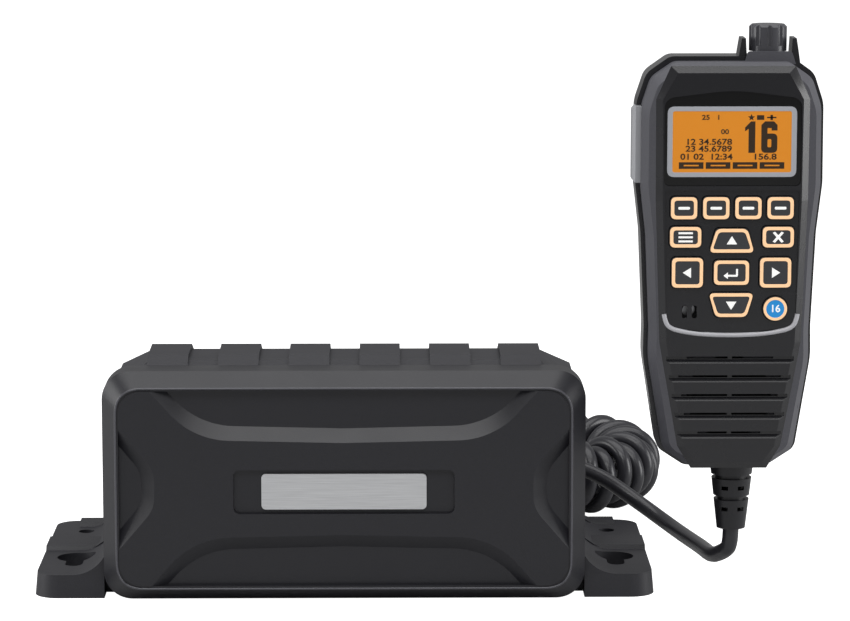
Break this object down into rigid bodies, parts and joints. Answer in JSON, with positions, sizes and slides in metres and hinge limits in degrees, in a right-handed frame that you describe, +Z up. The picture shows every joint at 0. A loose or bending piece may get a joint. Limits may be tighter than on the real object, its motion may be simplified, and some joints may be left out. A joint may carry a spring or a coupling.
{
  "type": "marine vhf radio",
  "caption": "Two-piece marine VHF radio: a finned black-box transceiver on mounting flanges and a corded handset with display, keys, transmit bar and volume knob",
  "frame": {"origin": "centre of the transceiver on its resting face, z = 0 is the surface it stands on", "axes": "+Z up, +Y from the front cover to the rear wall, +X to the right as seen from the front"},
  "size_m": [0.2903, 0.24, 0.2114],
  "materials": {
    "case_paint": "fine-textured charcoal powder coat on a die-cast case",
    "cover_plastic": "finely grained charcoal ABS",
    "badge": "satin silver plate, blank",
    "gasket": "soft black rubber",
    "steel": "zinc-plated steel",
    "board": "green solder mask",
    "tin": "tinned sheet",
    "chip_black": "moulded epoxy",
    "brass_nickel": "nickel-plated brass",
    "cord": "satin black polyurethane",
    "boot": "satin black moulded rubber",
    "hand_band": "half-gloss black",
    "hand_grain": "grained charcoal",
    "panel": "smooth satin charcoal",
    "window": "smoked clear window, gloss black border",
    "lcd": "amber backlit display with a light grey frame",
    "guide": "milky light guide",
    "key_dark": "dark keys with pale translucent rims and white marks",
    "key_blue": "blue key with a white plain number",
    "key_red": "red key",
    "flap_red": "red translucent flap",
    "mat": "milky silicone",
    "cone_paper": "coated paper",
    "magnet": "ferrite and plated steel",
    "ptt_grey": "light grey rubber over plastic",
    "knob_black": "satin black"
  },
  "bodies": {
    "radio": {"chassis": "case_paint", "front_cover": "cover_plastic", "cover_gasket": "gasket", "badge_plate": "badge", "cover_screws": "steel", "main_board": "board", "shield_can": "tin", "power_module": "chip_black", "board_screws": "steel", "antenna_socket": "brass_nickel", "antenna_socket_screws": "steel", "power_gland": "gasket", "accessory_gland": "gasket", "mic_socket": "chip_black", "mic_plug": "chip_black", "plug_boot": "boot", "cord_tail": "cord", "cord_coil": "cord", "cord_lead": "cord"},
    "coupling_ring_body": {"coupling_ring": "brass_nickel"},
    "handset": {"face_panel": "panel", "handset_front_case": "hand_grain", "handset_rear_case": "hand_band", "display_window": "window", "lcd_module": "lcd", "light_guide": "guide", "keypad_mat": "mat", "handset_board": "board", "mic_seal": "gasket", "mic_capsule": "tin", "speaker_basket": "tin", "speaker_cone": "cone_paper", "speaker_magnet": "magnet", "handset_seal": "gasket", "handset_screws": "steel", "hanger_stud": "brass_nickel", "ptt_switch": "chip_black", "encoder_body": "chip_black", "strain_relief": "boot", "distress_hinge_pin": "steel"},
    "knob_plunger_body": {"knob_plunger": "steel"},
    "knob": {"volume_knob": "knob_black", "knob_shaft": "tin"},
    "ptt": {"ptt_key": "ptt_grey"},
    "distress_flap": {"distress_cover": "flap_red"},
    "distress_button": {"distress_key": "key_red"},
    "soft_key_1_body": {"soft_key_1": "key_dark"},
    "soft_key_2_body": {"soft_key_2": "key_dark"},
    "soft_key_3_body": {"soft_key_3": "key_dark"},
    "soft_key_4_body": {"soft_key_4": "key_dark"},
    "list_key_body": {"list_key": "key_dark"},
    "cancel_key_body": {"cancel_key": "key_dark"},
    "up_key_body": {"up_key": "key_dark"},
    "down_key_body": {"down_key": "key_dark"},
    "left_key_body": {"left_key": "key_dark"},
    "right_key_body": {"right_key": "key_dark"},
    "enter_key_body": {"enter_key": "key_dark"},
    "channel_16_key_body": {"channel_16_key": "key_blue"}
  },
  "joints": [
    {"name": "handset_lift", "type": "slide", "parent": "radio", "child": "handset", "axis": [0, 0, 1], "range_m": [0, 0.12], "deforming": ["cord_lead"]},
    {"name": "coupling_ring_turn", "type": "hinge", "parent": "radio", "child": "coupling_ring_body", "pos_m": [-0.044, 0.063, 0.04], "axis": [0, 1, 0], "range_deg": [0, 90]},
    {"name": "knob_press", "type": "slide", "parent": "handset", "child": "knob_plunger_body", "axis": [0, 0, -1], "range_m": [0, 0.0008], "stiffness_N_per_m": 1500, "springref_m": -0.001},
    {"name": "knob_turn", "type": "hinge", "parent": "knob_plunger_body", "child": "knob", "pos_m": [0.1551, -0.03265, 0.203], "axis": [0, 0, 1], "continuous": true},
    {"name": "ptt_press", "type": "slide", "parent": "handset", "child": "ptt", "axis": [1, 0, 0], "range_m": [0, 0.0012], "stiffness_N_per_m": 1500, "springref_m": -0.001},
    {"name": "distress_flap_open", "type": "hinge", "parent": "handset", "child": "distress_flap", "pos_m": [0.1409, -0.0193, 0.1681], "axis": [1, 0, 0], "range_deg": [0, 95], "stiffness_Nm_per_rad": 0.003, "springref_deg": -11.46},
    {"name": "distress_press", "type": "slide", "parent": "handset", "child": "distress_button", "axis": [0, -1, 0], "range_m": [0, 0.0008], "stiffness_N_per_m": 1200, "springref_m": -0.001},
    {"name": "soft_key_1_press", "type": "slide", "parent": "handset", "child": "soft_key_1_body", "axis": [0, 1, 0], "range_m": [0, 0.0006], "stiffness_N_per_m": 800, "springref_m": -0.001},
    {"name": "soft_key_2_press", "type": "slide", "parent": "handset", "child": "soft_key_2_body", "axis": [0, 1, 0], "range_m": [0, 0.0006], "stiffness_N_per_m": 800, "springref_m": -0.001},
    {"name": "soft_key_3_press", "type": "slide", "parent": "handset", "child": "soft_key_3_body", "axis": [0, 1, 0], "range_m": [0, 0.0006], "stiffness_N_per_m": 800, "springref_m": -0.001},
    {"name": "soft_key_4_press", "type": "slide", "parent": "handset", "child": "soft_key_4_body", "axis": [0, 1, 0], "range_m": [0, 0.0006], "stiffness_N_per_m": 800, "springref_m": -0.001},
    {"name": "list_key_press", "type": "slide", "parent": "handset", "child": "list_key_body", "axis": [0, 1, 0], "range_m": [0, 0.0006], "stiffness_N_per_m": 800, "springref_m": -0.001},
    {"name": "cancel_key_press", "type": "slide", "parent": "handset", "child": "cancel_key_body", "axis": [0, 1, 0], "range_m": [0, 0.0006], "stiffness_N_per_m": 800, "springref_m": -0.001},
    {"name": "up_key_press", "type": "slide", "parent": "handset", "child": "up_key_body", "axis": [0, 1, 0], "range_m": [0, 0.0006], "stiffness_N_per_m": 800, "springref_m": -0.001},
    {"name": "down_key_press", "type": "slide", "parent": "handset", "child": "down_key_body", "axis": [0, 1, 0], "range_m": [0, 0.0006], "stiffness_N_per_m": 800, "springref_m": -0.001},
    {"name": "left_key_press", "type": "slide", "parent": "handset", "child": "left_key_body", "axis": [0, 1, 0], "range_m": [0, 0.0006], "stiffness_N_per_m": 800, "springref_m": -0.001},
    {"name": "right_key_press", "type": "slide", "parent": "handset", "child": "right_key_body", "axis": [0, 1, 0], "range_m": [0, 0.0006], "stiffness_N_per_m": 800, "springref_m": -0.001},
    {"name": "enter_key_press", "type": "slide", "parent": "handset", "child": "enter_key_body", "axis": [0, 1, 0], "range_m": [0, 0.0006], "stiffness_N_per_m": 800, "springref_m": -0.001},
    {"name": "channel_16_key_press", "type": "slide", "parent": "handset", "child": "channel_16_key_body", "axis": [0, 1, 0], "range_m": [0, 0.0006], "stiffness_N_per_m": 800, "springref_m": -0.001}
  ]
}
